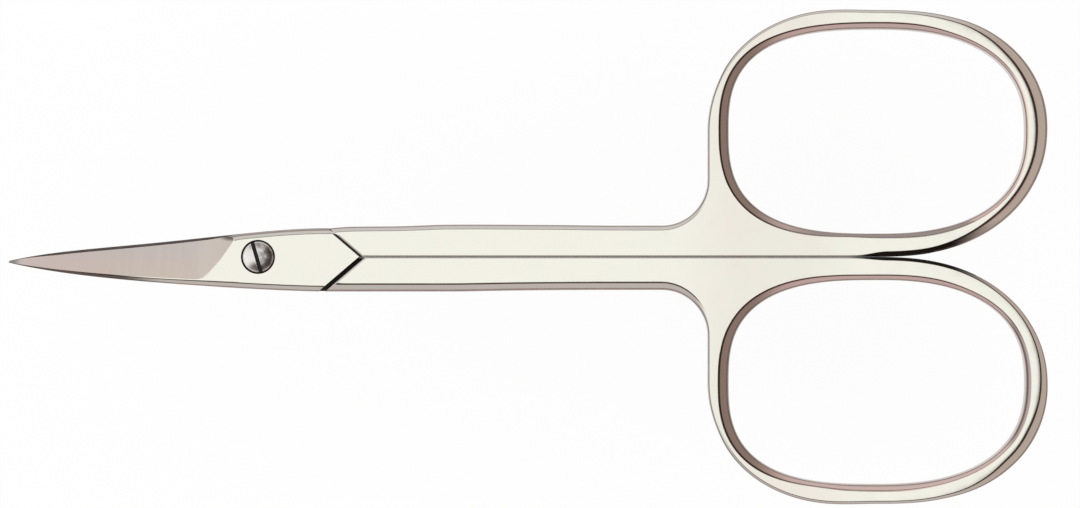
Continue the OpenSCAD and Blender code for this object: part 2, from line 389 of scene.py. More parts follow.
def bump(tree, height, distance, strength, below=None):
    """Normals for a fine relief, on top of another relief if one is given."""
    made = tree.nodes.new("ShaderNodeBump")
    made.inputs["Distance"].default_value = distance
    made.inputs["Strength"].default_value = strength
    tree.links.new(height, made.inputs["Height"])
    if below is not None:
        tree.links.new(below, made.inputs["Normal"])
    return made.outputs["Normal"]


def raised(tree, geometry, height):
    """Geometry moved up by a height."""
    offset = tree.nodes.new("ShaderNodeCombineXYZ")
    tree.links.new(height, offset.inputs["Z"])
    values = {"Geometry": geometry, "Translation": offset.outputs[0]}
    return add_node(tree, "GeometryNodeTransform", values)


# Materials

COOL_NICKEL = (0.90, 0.875, 0.785), (0.885, 0.880, 0.785)
WARM_NICKEL = (0.86, 0.81, 0.73), (0.84, 0.825, 0.735)
# Painted shade, near black, on the edges in the wedge between the bows
WEDGE_PAINTED_SHADE = (0.02, 0.015, 0.012)
# Painted shade on the blade's rounded edges towards the tip
BLADE_EDGE_PAINTED_SHADE = (0.20, 0.165, 0.15)
# Painted reflection and painted shade on the finger holes' rounded edges
ROSY_EDGE = (0.90, 0.71, 0.64)
BROWN_EDGE = (0.47, 0.40, 0.345)
FAR_EDGE = (0.46, 0.37, 0.34)
SHADED_EDGE = (0.48, 0.41, 0.37)
# Painted reflection and painted shade on the steep side walls
PALE_WALL = (0.48, 0.40, 0.365), (0.56, 0.475, 0.435)
BROWN_WALL = (0.30, 0.245, 0.215), (0.36, 0.30, 0.27)
DARK_WALL = (0.15, 0.12, 0.11), (0.20, 0.165, 0.15)
BEIGE_GRIND = (0.66, 0.575, 0.50), (0.69, 0.605, 0.53)
MAUVE_GRIND = (0.62, 0.56, 0.535), (0.65, 0.59, 0.56)
ROOT_GRIND = (0.72, 0.64, 0.57)
TIP_GRIND = (0.69, 0.59, 0.55)
# Painted shade at the blade's very tip
POINT_PAINTED_SHADE = (0.24, 0.25, 0.22)
GRIND_CORNER = (0.18, 0.14, 0.12)
BARE_STEEL = (0.36, 0.33, 0.30), (0.50, 0.47, 0.43)
# Painted shade, near black, in corners, bores, the slot and the wedge
CORNER_PAINTED_SHADE = (0.020, 0.017, 0.014), (0.07, 0.06, 0.05)
# Painted shade on the lower blade's back bevel
DARK_BEVEL = (0.10, 0.08, 0.075), (0.17, 0.14, 0.13)
# Painted light and painted shade on the two sides of the screw's head
LIT_TURNED = (0.78, 0.76, 0.73), (0.86, 0.84, 0.81)
SHADED_TURNED = (0.36, 0.34, 0.33), (0.84, 0.82, 0.79)


def new_material(name, metallic=0.0):
    """A material, with its node tree, shader and object coordinates."""
    material = bpy.data.materials.new(name)
    material.use_nodes = True
    tree = material.node_tree
    shader = tree.nodes["Principled BSDF"]
    shader.inputs["Metallic"].default_value = metallic
    return material, tree, shader, tree.nodes.new("ShaderNodeTexCoord").outputs["Object"]


def dress(tree, shader, colour, roughness, normal):
    """Gives a shader its colour, roughness and fine relief."""
    for name, value in (("Base Color", colour), ("Roughness", roughness), ("Normal", normal)):
        tree.links.new(value, shader.inputs[name])


def off_level(tree):
    """1 on rounded edges and walls, and 0 on level faces."""
    facing = tree.nodes.new("ShaderNodeSeparateXYZ")
    tree.links.new(tree.nodes.new("ShaderNodeNewGeometry").outputs["Normal"], facing.inputs[0])
    return fade(tree, calculate(tree, "ABSOLUTE", facing.outputs["Z"]), 0.999, 0.985)


def wedge_between_bows(tree, x, y):
    """1 beside the centre line where the bows part, to just past the line that their rims follow."""
    past = calculate(tree, "MAXIMUM", calculate(tree, "ADD", x, -bow_x), 0.0)
    rim_y = times(tree, calculate(tree, "POWER", past, wedge_power), wedge_opening)
    inside = calculate(tree, "SUBTRACT", calculate(tree, "ABSOLUTE", y), rim_y)
    return times(tree, stretch(tree, x, 51.0, 53.0, 60.0, 65.0), fade(tree, inside, 1.0, 0.75))


def within_bow(tree, x, y):
    """1 from a finger hole to the middle of its rod, measured on a squarish oval."""
    ahead = calculate(tree, "ADD", x, -tint_x)
    aside = calculate(tree, "ADD", calculate(tree, "ABSOLUTE", y), -bow_y)
    parts = []
    for away, reach in ((ahead, tint_half_l), (aside, tint_half_w)):
        share = calculate(tree, "ABSOLUTE", calculate(tree, "DIVIDE", away, reach))
        parts.append(calculate(tree, "POWER", share, tint_squareness))
    return fade(tree, calculate(tree, "ADD", *parts), 1.04, 0.98)


def hole_edge_painted_tint(tree, x, y):
    """Painted reflection on the finger holes' edges: rosy, and browner as painted shade in three
    places.

    These are the shank's end, the far end on the -Y side, and beside the centre line on the +Y side.
    """
    tint = blend(tree, fade(tree, x, 46.5, 42.5), ROSY_EDGE, BROWN_EDGE)
    far = times(tree, fade(tree, x, 64.8, 66.0), fade(tree, y, 0.0, -1.0))
    tint = blend(tree, far, tint, FAR_EDGE)
    inner = times(tree, stretch(tree, y, 0.5, 1.5, 2.9, 3.3), fade(tree, x, 44.0, 49.0))
    return blend(tree, inner, tint, SHADED_EDGE)


def polished_nickel():
    """Bright plated steel, warmer at the bows' root; painted shade darkens its edges in the wedge
    between the bows.
    """
    material, tree, shader, coords = new_material("polished_nickel", 1.0)
    x, y, _ = places_mm(tree, coords)
    patches = noise(tree, coords, 260.0, 3.0)
    cool = two_tone(tree, patches, *COOL_NICKEL, (0.35, 0.65))
    warm = two_tone(tree, patches, *WARM_NICKEL, (0.35, 0.65))
    tint = blend(tree, stretch(tree, x, 35.0, 42.0, 47.0, 53.0), cool, warm)
    edge = off_level(tree)
    # Painted shade: the rounded edges in the wedge between the bows are darkened almost to black
    tint = blend(tree, times(tree, wedge_between_bows(tree, x, y), edge), tint, WEDGE_PAINTED_SHADE)
    # Painted shade: the blade's rounded edges darken towards the tip
    tint = blend(tree, times(tree, fade(tree, x, -8.0, -12.0), edge), tint, BLADE_EDGE_PAINTED_SHADE)
    # Painted reflection and shade: the finger holes' rounded edges are tinted rosy and brown
    tint = blend(tree, times(tree, within_bow(tree, x, y), edge), tint, hole_edge_painted_tint(tree, x, y))
    haze = two_tone(tree, noise(tree, coords, 700.0, 4.0), 0.05, 0.11, (0.35, 0.75))
    hairlines = noise(tree, mapped(tree, coords, (900.0, 16000.0, 9000.0)), 1.0, 3.0)
    soft = bump(tree, noise(tree, coords, 420.0, 1.0), 0.00004, 0.05)
    dress(tree, shader, tint, haze, bump(tree, hairlines, 0.00001, 0.04, soft))
    return material


def side_steel():
    """The steep side walls, brushed, browned as painted reflection, and darker as painted shade
    towards the tips and at the holes' root end.
    """
    material, tree, shader, coords = new_material("side_steel", 1.0)
    streaks = noise(tree, mapped(tree, coords, (700.0, 700.0, 5000.0)), 1.0, 3.0)
    pale = two_tone(tree, streaks, *PALE_WALL)
    dark = two_tone(tree, streaks, *DARK_WALL)
    brown = two_tone(tree, streaks, *BROWN_WALL)
    x = places_mm(tree, coords)[0]
    # Painted shade towards the tips and at the holes' root end
    tint = blend(tree, fade(tree, x, -6.0, -11.0), pale, dark)
    tint = blend(tree, stretch(tree, x, 39.7, 40.3, 42.5, 45.0), tint, brown)
    dress(tree, shader, tint, two_tone(tree, streaks, 0.2, 0.3), bump(tree, streaks, 0.00001, 0.06))
    return material


def near_grind_corner(tree, x, y):
    """1 at the corner where the ground face meets the joint's rounded edge, and 0 round it."""
    beside = times(tree, calculate(tree, "ADD", x, 2.3), 0.8)
    above = times(tree, calculate(tree, "ADD", y, -1.75), 2.2)
    away = calculate(tree, "ADD", times(tree, beside, beside), times(tree, above, above))
    return fade(tree, away, 1.0, 0.0)


def ground_steel():
    """The satin ground face of a blade, cooler towards +Y, with fine grinding lines and painted shade
    at the tip.
    """
    material, tree, shader, coords = new_material("ground_steel", 0.4)
    x, y, _ = places_mm(tree, coords)
    lines = noise(tree, mapped(tree, coords, (2600.0, 260.0, 260.0)), 1.0, 3.0)
    beige = two_tone(tree, lines, *BEIGE_GRIND)
    mauve = two_tone(tree, lines, *MAUVE_GRIND)
    tint = blend(tree, fade(tree, y, -1.6, 1.2), beige, mauve)
    tint = blend(tree, fade(tree, x, -6.0, -3.5), tint, ROOT_GRIND)
    tint = blend(tree, fade(tree, x, -11.0, -19.0), tint, TIP_GRIND)
    # Painted shade: the ground face turns dark at the very tip
    tint = blend(tree, fade(tree, x, -20.2, -21.2), tint, POINT_PAINTED_SHADE)
    tint = blend(tree, near_grind_corner(tree, x, y), tint, GRIND_CORNER)
    grain = noise(tree, mapped(tree, coords, (20000.0, 900.0, 900.0)), 1.0, 3.0)
    dress(tree, shader, tint, two_tone(tree, grain, 0.34, 0.42), bump(tree, grain, 0.00001, 0.05))
    return material


def slide_steel():
    """Bare ground steel, where the halves slide on each other and meet."""
    material, tree, shader, coords = new_material("slide_steel", 1.0)
    tint = two_tone(tree, noise(tree, coords, 500.0, 4.0), *BARE_STEEL)
    grain = noise(tree, mapped(tree, coords, (1200.0, 18000.0, 18000.0)), 1.0, 4.0)
    dress(tree, shader, tint, two_tone(tree, grain, 0.28, 0.42), bump(tree, grain, 0.00001, 0.1))
    return material


def corner_steel():
    """Unpolished steel painted near black as shade, in the joint's corners, the bores, the slot and
    the wedge.
    """
    material, tree, shader, coords = new_material("corner_steel", 0.6)
    stain = noise(tree, coords, 1500.0, 5.0)
    tint = two_tone(tree, stain, *CORNER_PAINTED_SHADE, (0.3, 0.75))
    dress(tree, shader, tint, two_tone(tree, stain, 0.4, 0.6), bump(tree, stain, 0.00003, 0.2))
    return material


def edge_steel():
    """The bevel along the back of the lower blade, rough, and painted dark as shade."""
    material, tree, shader, coords = new_material("edge_steel", 0.7)
    stain = noise(tree, coords, 900.0, 4.0)
    tint = two_tone(tree, stain, *DARK_BEVEL)
    dress(tree, shader, tint, two_tone(tree, stain, 0.35, 0.5), bump(tree, stain, 0.00002, 0.1))
    return material


def screw_steel():
    """Turned steel, with fine rings round the pivot axis, pale on one side of the slot and painted
    darker as shade on the other.
    """
    material, tree, shader, coords = new_material("screw_steel", 1.0)
    values = {"Vector": coords, "Scale": 4200.0, "Distortion": 2.5, "Detail": 3.0}
    wave = add_node(tree, "ShaderNodeTexWave", values, wave_type="RINGS", rings_direction="Z")
    rings = wave.node.outputs["Fac"]
    blotch = noise(tree, coords, 1400.0, 3.0)
    pale = two_tone(tree, blotch, *LIT_TURNED, (0.3, 0.6))
    shaded_side = two_tone(tree, blotch, *SHADED_TURNED, (0.38, 0.58))
    # Painted shade: the head darkens on the +X side of the slot
    tint = blend(tree, fade(tree, places_mm(tree, coords)[0], -0.4, 0.1), pale, shaded_side)
    roughness = two_tone(tree, rings, 0.14, 0.2, (0.2, 0.8))
    dress(tree, shader, tint, roughness, bump(tree, rings, 0.00001, 0.02))
    return material


NICKEL = polished_nickel()
SIDE = side_steel()
DARK = edge_steel()
GROUND = ground_steel()
SLIDE = slide_steel()
CORNER = corner_steel()
TURNED = screw_steel()


# Mesh helpers


def mesh_object(name, points, faces, materials, face_material=None):
    """An object at the origin whose mesh has these points in millimetres."""
    mesh = bpy.data.meshes.new(name)
    mesh.from_pydata([tuple(p) for p in np.array(points, float).reshape(-1, 3) * MM], [], faces)
    for material in materials:
        mesh.materials.append(material)
    if face_material is not None:
        mesh.polygons.foreach_set("material_index", face_material)
    work = bmesh.new()
    work.from_mesh(mesh)
    bmesh.ops.recalc_face_normals(work, faces=work.faces)
    work.to_mesh(mesh)
    work.free()
    made = bpy.data.objects.new(name, mesh)
    bpy.context.scene.collection.objects.link(made)
    return made


def prism(name, outline, low, high, material):
    """A solid with this plan outline between two heights."""
    n = len(outline)
    points = [(x, y, z) for z in (low, high) for x, y in outline]
    faces = [list(range(n))[::-1], list(range(n, 2 * n))]
    faces += [[i, (i + 1) % n, n + (i + 1) % n, n + i] for i in range(n)]
    return mesh_object(name, points, faces, [material])


def cylinder(name, r, low, high, material):
    """A round solid on the Z axis between two heights."""
    turns = [2 * math.pi * i / ROUND_STEPS for i in range(ROUND_STEPS)]
    return prism(name, [(r * math.cos(a), r * math.sin(a)) for a in turns], low, high, material)


def combine(target, tool, operation):
    """Changes target's mesh by a solid tool, which is then removed."""
    modifier = target.modifiers.new("cut", "BOOLEAN")
    modifier.operation = operation
    modifier.solver = "EXACT"
    modifier.material_mode = "TRANSFER"
    modifier.object = tool
    graph = bpy.context.evaluated_depsgraph_get()
    mesh = bpy.data.meshes.new_from_object(target.evaluated_get(graph))
    target.modifiers.clear()
    old, target.data = target.data, mesh
    bpy.data.meshes.remove(old)
    bpy.data.objects.remove(tool)
    return target


def finish_surface(piece):
    """Smooth shading across edges that turn less than SHARP_TURN, with flat faces kept flat."""
    work = bmesh.new()
    work.from_mesh(piece.data)
    bmesh.ops.remove_doubles(work, verts=work.verts, dist=MERGE_DISTANCE)
    bmesh.ops.dissolve_degenerate(work, edges=work.edges, dist=MERGE_DISTANCE)
    for face in work.faces:
        face.smooth = True
    for edge in work.edges:
        edge.smooth = len(edge.link_faces) == 2 and edge.calc_face_angle() < SHARP_TURN
    work.to_mesh(piece.data)
    work.free()
    modifier = piece.modifiers.new("normals", "WEIGHTED_NORMAL")
    modifier.keep_sharp = True
    modifier.weight = 50
    graph = bpy.context.evaluated_depsgraph_get()
    mesh = bpy.data.meshes.new_from_object(piece.evaluated_get(graph))
    piece.modifiers.clear()
    piece.data = mesh
    return piece


# Blades and joint


def outline_rows():
    """Rows along a blade: x, upper edge, lower edge and how far the cutting edge stays inside."""
    rows = [(taper_x - 1, upper_line[0], lower_line[0], edge_setback[-1][1])]
    for i in range(BLADE_STEPS + 1):
        t = i / BLADE_STEPS
        x = guided([joint_end_x, curve_x, -blade_reach], t)
        rows.append((x, guided(upper_line, t), guided(lower_line, t), along(edge_setback, x)))
    return rows


def slide_rise(x, y):
    """Height of the surface on which the halves slide, above its level part at the joint."""
    d = math.hypot(x, y) - bend_start
    return 0.0 if x >= 0 or d <= 0 else bend_r - math.sqrt(bend_r**2 - d * d)


def joint_half_t(side):
    """Thickness of one half at the joint, from the slide face outwards."""
    return mid_z - face_gap / 2 - (joint_step if side > 0 else 0)


def blank_t(x, side):
    """Thickness of a blade before it is ground, thinner towards the tip."""
    return mix(joint_half_t(side), tip_t, max(0.0, -x - grind_end) / (blade_reach - grind_end))


def row_edges(row, side):
    """The cutting edge's and the back's places across a row."""
    x, upper, lower, setback = row
    return (upper - setback, lower) if side > 0 else (lower + setback, upper)


def blade_point(x, y, h, side):
    """A point at height h off the slide face, on the outer side of it."""
    return (x, y, mid_z + slide_rise(x, y) + side * (face_gap / 2 + h))


def loft(name, sections, materials, material_of):
    """A closed solid over equal closed sections, with flat ends."""
    n = len(sections[0])
    faces, numbers = [], []
    for i in range(len(sections) - 1):
        for j in range(n):
            k = (j + 1) % n
            faces.append((i * n + j, i * n + k, (i + 1) * n + k, (i + 1) * n + j))
            numbers.append(material_of(j))
    last = (len(sections) - 1) * n
    faces += [tuple(range(n))[::-1], tuple(last + j for j in range(n))]
    numbers += [0, 0]
    return mesh_object(name, [p for s in sections for p in s], faces, materials, numbers)


def blank_material(j):
    """Number of the material round a blank's section: walls, polished top, bevel and slide face."""
    arc_end = 2 * ARC_STEPS + 3
    if j <= STEEP_STEPS + 1 or arc_end - STEEP_STEPS - 1 <= j < arc_end:
        return BLANK_WALL
    if j < arc_end:
        return BLANK_FACE
    return BLANK_BEVEL if j == arc_end else BLANK_SLIDING


def blade_blank(side):
    """The joint and blade as forged and polished, before the blade's face is ground."""
    sections = []
    for row in outline_rows():
        edge_y, back_y = row_edges(row, side)
        w, thick = abs(back_y - edge_y), blank_t(row[0], side)
        r = min(joint_edge_r, edge_w_share * w, edge_t_share * thick)
        turns = arc()
        top = [(r * (1 - math.cos(a)), thick - edge_flatness * r * (1 - math.sin(a))) for a in turns]
        top += [(w - d, h) for d, h in reversed(top)]
        bevel = min(back_bevel_w, back_bevel_share * w)
        loop = [(0.0, 0.0)] + top + [(w, back_bevel_h), (w - bevel, 0.0), (0.5 * w, 0.0)]
        sections.append([
            blade_point(row[0], mix(edge_y, back_y, d / w), h, side) for d, h in loop
        ])
    materials = [NICKEL, SIDE, SLIDE, DARK if side < 0 else SLIDE]
    return loft("blank", sections, materials, blank_material)


def grinding_wheel(side):
    """What the grinding takes off a blade: all above a face that falls to the cutting edge."""
    sections = []
    for row in [r for r in outline_rows() if r[0] < wheel_start_x]:
        x = row[0]
        edge_y, back_y = row_edges(row, side)
        w, thick = abs(back_y - edge_y), blank_t(x, side)
        ground_w = w * (1 - back_share)
        run = max(0.0, 1 + (x + grind_end) / grind_runout)
        lift = (thick - edge_t) * run * run * (1 + runout_softness) / (run + runout_softness)
        low = []
        for j in range(WHEEL_STEPS + 1):
            d = mix(wheel_reach[0] * w, wheel_reach[1] * w, j / WHEEL_STEPS)
            h = edge_t + lift + (thick - edge_t) * d / ground_w
            low.append((mix(edge_y, back_y, d / w), h))
        high = [(y, wheel_top) for y, _ in reversed(low)]
        sections.append([blade_point(x, y, h, side) for y, h in low + high])
    end = [(p[0] - wheel_overrun, p[1], p[2]) for p in sections[-1]]
    return loft("wheel", sections + [end], [GROUND], lambda j: 0)


# Shank and bow


def unit(v):
    """The vector of length 1 along v."""
    return v / np.linalg.norm(v)


def squareness(a):
    """The power of the bow's squarish oval in direction a, higher where it is squarer."""
    return far_end_squareness if math.cos(a) > 0 else shank_end_squareness


def hole_oval(a):
    """Half length, half width and power of the finger hole's oval in direction a."""
    return hole_half_l, hole_half_w, squareness(a)


def rim_oval(a):
    """Half length, half width and power of the rim's oval in direction a."""
    half_w = hole_half_w + rod_side_w if math.sin(a) > 0 else bow_y - shank_gap / 2
    return hole_half_l + rod_end_w, half_w, squareness(a) - rim_softening


def oval_r(a, oval):
    """How far an oval reaches from its middle in direction a."""
    h, v, n = oval
    return (abs(math.cos(a) / h) ** n + abs(math.sin(a) / v) ** n) ** (-1 / n)


def oval_point(a, oval):
    """A point of the oval in direction a, with the outward normal there."""
    p = oval_r(a, oval) * np.array([math.cos(a), math.sin(a)])
    n = oval[2]
    normal = unit(np.array([
        math.copysign(abs(p[k] / oval[k]) ** (n - 1) / oval[k], p[k]) for k in (0, 1)
    ]))
    return p + np.array([bow_x, bow_y]), normal


def rod_w(a):
    """Width of the bow's rod in direction a."""
    return oval_r(a, rim_oval(a)) - oval_r(a, hole_oval(a))


def round_bow(a):
    """Degrees round the bow, from -90 to 270."""
    return (math.degrees(a) + 90) % 360 - 90


def rim_w(a, side):
    """Width in plan of the rim's rounded edge, which the rod and the hole's edge limit."""
    room = rod_w(a) - along(hole_edges[side], round_bow(a)) - flat_w
    return min(along(rim_edges[side], math.degrees(a)), room)


def neck_station(t, side):
    """From the shank's end at t = 0 to the bow's straight end at t = 1."""
    a = math.pi / 2 * (t - 1)
    way = np.array([math.cos(a), math.sin(a)])
    middle = np.array([shank_end_x, shank_sides[side][-1][1] + neck_r])
    return middle + neck_r * way, way, mix(shank_edge_w[side], rim_edge_w, ease(t)), WALL


def outer_line(side):
    """Stations of the shank's outer line, from inside the joint to halfway round the neck.

    A station is a point, the way across the metal from it, an edge width and the wall's material.
    """
    first_x = min(shoulder_x.values()) - shoulder_reach
    straight = [((x, along(shank_sides[side], x)), (0, -1), shank_edge_w[side], WALL)
                for x in np.linspace(first_x, shank_end_x, STRIP_STEPS)[:-1]]
    return straight + [neck_station(i / NECK_STEPS, side) for i in range(NECK_STEPS // 2 + 1)]


def parted(w, x):
    """The width of an edge on the inner side, which stays narrow until the bows part."""
    return mix(inner_edge_w, w, ease((x - parting_x) / parting_l))


def centre_line(xs, side):
    """Stations on the inner side, where the shanks and then the bows slide past each other."""
    w = rim_edges[side][0][1]
    return [((x, shank_gap / 2), (0, 1), parted(w, x), SLIDING) for x in xs]


def rim(side):
    """The way round the bow, from the end of the shank's centre line to the end of its outer line."""
    start_x = neck_station(0.5, side)[0][0]
    chain = centre_line([mix(start_x, bow_x, i / WEB_STEPS) for i in range(1, WEB_STEPS)], side)
    for i in range(RING_STEPS + 1):
        a = mix(-math.pi / 2, math.pi, i / RING_STEPS)
        p, normal = oval_point(a, rim_oval(a))
        p = p + normal * along(rim_swell, math.degrees(a))
        w = parted(rim_w(a, side), p[0]) if a < 0 else rim_w(a, side)
        # Near the centre line the rim's wall gets the near-black painted shade
        chain.append((p, -normal, w, UNPOLISHED_PAINTED_SHADE if a < painted_shade_wall_turn[side] else WALL))
    for i in range(1, SIDE_STEPS):
        y = mix(bow_y, shank_sides[side][-1][1] + neck_r, i / SIDE_STEPS)
        chain.append(((neck_x, y), (1, 0), rim_edge_w, WALL))
    neck = range(NECK_STEPS, NECK_STEPS // 2, -1)
    return chain + [neck_station(i / NECK_STEPS, side) for i in neck]


def turn_to(p):
    """Direction of point p from the middle of the bow."""
    return math.atan2(p[1] - bow_y, p[0] - bow_x)


def hole_station(a, side):
    """The station on the finger hole's edge in direction a."""
    q, normal = oval_point(a, hole_oval(a))
    return q, normal, along(hole_edges[side], round_bow(a)), WALL


def upper_face_z(x):
    """Height of the shank's and bow's upper face, which falls towards the far end."""
    if x < taper_x:
        return joint_t
    return mix(joint_t, bow_end_t, (x - taper_x) / (far_end_x - taper_x))


def edge_ring(station, side):
    """The points round one edge, from the face at one side to the face at the other.

    Halfway up, the walls along the centre line swell until the two halves nearly touch.
    """
    p, way, w, wall = station
    turns = arc()
    points = []
    swell = np.array(p) - np.array(way) * (0.0 if wall == WALL else shank_gap / 2 - touch_gap)
    middle = (swell[0], side * swell[1], upper_face_z(p[0]) / 2)
    for end in (-1, 1):
        if end > 0:
            points.append(middle)
        for a in (reversed(turns) if end < 0 else turns):
            q = np.array(p) + np.array(way) * w * (1 - math.cos(a))
            inside = edge_flatness * w * (1 - math.sin(a))
            z = upper_face_z(q[0]) - inside if side * end > 0 else inside
            points.append((q[0], side * q[1], z))
    return points


def shank_and_bow(side):
    """The shank and bow of one half, as one closed solid."""
    outer = outer_line(side)
    chain = centre_line([s[0][0] for s in outer], side) + rim(side) + outer[::-1]
    count = len(chain)
    first = len(outer) - 1
    last = count - len(outer)
    hole = [hole_station(turn_to(s[0]), side) for s in chain[first:last + 1]]
    start, end = turn_to(chain[last][0]), turn_to(chain[first][0])
    hole += [hole_station(mix(start, end, j / CORNER_STEPS), side) for j in range(1, CORNER_STEPS)]
    k = 2 * ARC_STEPS + 3
    points = [p for s in chain + hole for p in edge_ring(s, side)]
    faces, numbers = [], []

    def strip(a, b, wall):
        """Faces between two edge rings."""
        for j in range(k - 1):
            faces.append((a * k + j, a * k + j + 1, b * k + j + 1, b * k + j))
            steep = abs(j - ARC_STEPS - 0.5) < (1 if wall == SLIDING else STEEP_STEPS + 1)
            numbers.append(wall if steep else FACE)

    def across(*around):
        """An upper and a lower face between these rings."""
        faces.append([i * k + k - 1 for i in reversed(around)])
        faces.append([i * k for i in around])
        numbers.extend([FACE, FACE])

    def inner(i):
        """Number of the hole's ring that belongs to the rim's ring i."""
        return count + i - first

    for i in range(count - 1):
        strip(i, i + 1, chain[i][3])
    for i in range(first, last):
        strip(inner(i + 1), inner(i), WALL)
        across(i, i + 1, inner(i + 1), inner(i))
    corner = [inner(last) + j for j in range(CORNER_STEPS)] + [inner(first)]
    for a, b in zip(corner, corner[1:]):
        strip(b, a, WALL)
    across(last, first, *reversed(corner))
    for i in range(first):
        across(i, i + 1, count - 2 - i, count - 1 - i)
    strip(count - 1, 0, WALL)
    return mesh_object("shank", points, faces, [NICKEL, SLIDE, SIDE, CORNER], numbers)


# Halves


def arm(x, y):
    """A place on the line along the shoulder's slope that crosses the centre line at x."""
    return (x - y / shoulder_slope, y)


def arm_strip(near_x, far_x, low_y, high_y):
    """A strip in plan along the shoulder's slope."""
    return [arm(near_x, low_y), arm(far_x, low_y), arm(far_x, high_y), arm(near_x, high_y)]


def slantwise(w):
    """The length along the centre line of a width across the shoulder's slope."""
    return w / math.sin(math.atan(shoulder_slope))


def turned(outline, side):
    """An outline on the given side of the centre line."""
    return [(x, side * y) for x, y in outline]


def shoulder_waste(side):
    """What is cut off a shank in front of its shoulder."""
    tip = shoulder_x[side]
    outline = [
        arm(tip, -OVERLAP), arm(tip, shoulder_polish_y), arm(tip, shoulder_reach),
        (-BIG, shoulder_reach), (-BIG, -OVERLAP),
    ]
    made = prism("waste", turned(outline, side), -BIG, BIG, CORNER)
    # The outer stretch of the shoulder, between outline points 1 and 2, is polished
    made.data.materials.append(NICKEL)
    made.data.polygons[3].material_index = 1
    return made


def joint_plan(side):
    """The plan that a joint keeps: a V past the centre line and a tongue in its own shank."""
    gap_x = shoulder_x[-side] - slantwise(shoulder_gap[side])
    tongue_end = shoulder_x[side] + tongue_bite
    outline = [
        (-BIG, BIG / 2), (-BIG, -BIG / 2), (gap_x - BIG / 2 / shoulder_slope, -BIG / 2), (gap_x, 0),
        arm(tongue_end, tongue_root_y), arm(tongue_end, BIG / 2),
    ]
    return prism("plan", turned(outline, side), -BIG, BIG, CORNER)


def corner_groove():
    """The thin groove at the foot of the step between the joint and its own shank, painted dark as
    shade.
    """
    tip = shoulder_x[1]
    outline = arm_strip(tip - slantwise(corner_groove_w), tip + corner_groove_bite, *corner_groove_y)
    return prism("groove", outline, joint_face_z - corner_groove_depth, joint_t + OVERLAP, CORNER)


def corner_relief(side):
    """The relief that is cut below the slide face in the open corner of the V."""
    tip = shoulder_x[side]
    near_x = tip - slantwise(shoulder_gap[1] + corner_relief_w)
    outline = arm_strip(near_x, tip + corner_relief_bite, corner_relief_y, shoulder_reach)
    low, high = mid_z - corner_relief_depth, mid_z + corner_relief_depth
    return prism("relief", turned(outline, side), low, high, CORNER)


def shoulder_bevel(side):
    """A bar whose lower face bevels the upper corner of a shoulder."""
    tip = shoulder_x[side]
    wide = slantwise(shoulder_bevel_w)
    section = [
        (-OVERLAP, -shoulder_bevel_h), (0, -shoulder_bevel_h), (wide, 0),
        (wide, OVERLAP), (-OVERLAP, OVERLAP),
    ]
    points = []
    for y in (shoulder_bevel_start_y, shoulder_bevel_end_y[side]):
        for x, z in section:
            a = arm(tip + x, y)
            points.append((a[0], side * a[1], joint_t + z))
    faces = [tuple(range(5)), tuple(range(5, 10))[::-1]]
    faces += [(i, 5 + i, 5 + (i + 1) % 5, (i + 1) % 5) for i in range(5)]
    return mesh_object("bevel", points, faces, [NICKEL])


def half(name, side):
    """One forged half: the screw head's at side 1 and the thread's at side -1."""
    body = combine(shank_and_bow(side), shoulder_waste(side), "DIFFERENCE")
    joint = combine(blade_blank(side), grinding_wheel(side), "DIFFERENCE")
    joint = combine(joint, joint_plan(side), "INTERSECT")
    body = combine(body, shoulder_bevel(side), "DIFFERENCE")
    made = combine(body, joint, "UNION")
    if side > 0:
        bore = cylinder("bore", bearing_r + bearing_gap, 0, joint_t + OVERLAP, CORNER)
        seat = cylinder("seat", head_r + head_gap, head_seat_z, joint_t + OVERLAP, CORNER)
        made = combine(combine(made, bore, "DIFFERENCE"), seat, "DIFFERENCE")
        made = combine(made, corner_groove(), "DIFFERENCE")
    else:
        tapped = cylinder("tapped", thread_r, -OVERLAP, joint_t, CORNER)
        made = combine(made, tapped, "DIFFERENCE")
        made = combine(made, corner_relief(side), "DIFFERENCE")
    finish_surface(made)
    made.name = made.data.name = name
    return made


def lathe(name, profile, steps, materials):
    """A closed solid turned round the Z axis, from a profile that starts and ends on the axis."""
    inner = profile[1:-1]
    points = [(0, 0, profile[0][1])]
    turns = [2 * math.pi * i / steps for i in range(steps)]
    for r, z in inner:
        points += [(r * math.cos(a), r * math.sin(a), z) for a in turns]
    points.append((0, 0, profile[-1][1]))
    top = len(points) - 1
    faces = []
    for i in range(steps):
        j = (i + 1) % steps
        faces.append((0, 1 + j, 1 + i))
        for row in range(len(inner) - 1):
            a, b = 1 + row * steps, 1 + (row + 1) * steps
            faces.append((a + i, a + j, b + j, b + i))
        last = 1 + (len(inner) - 1) * steps
        faces.append((last + i, last + j, top))
    return mesh_object(name, points, faces, materials)


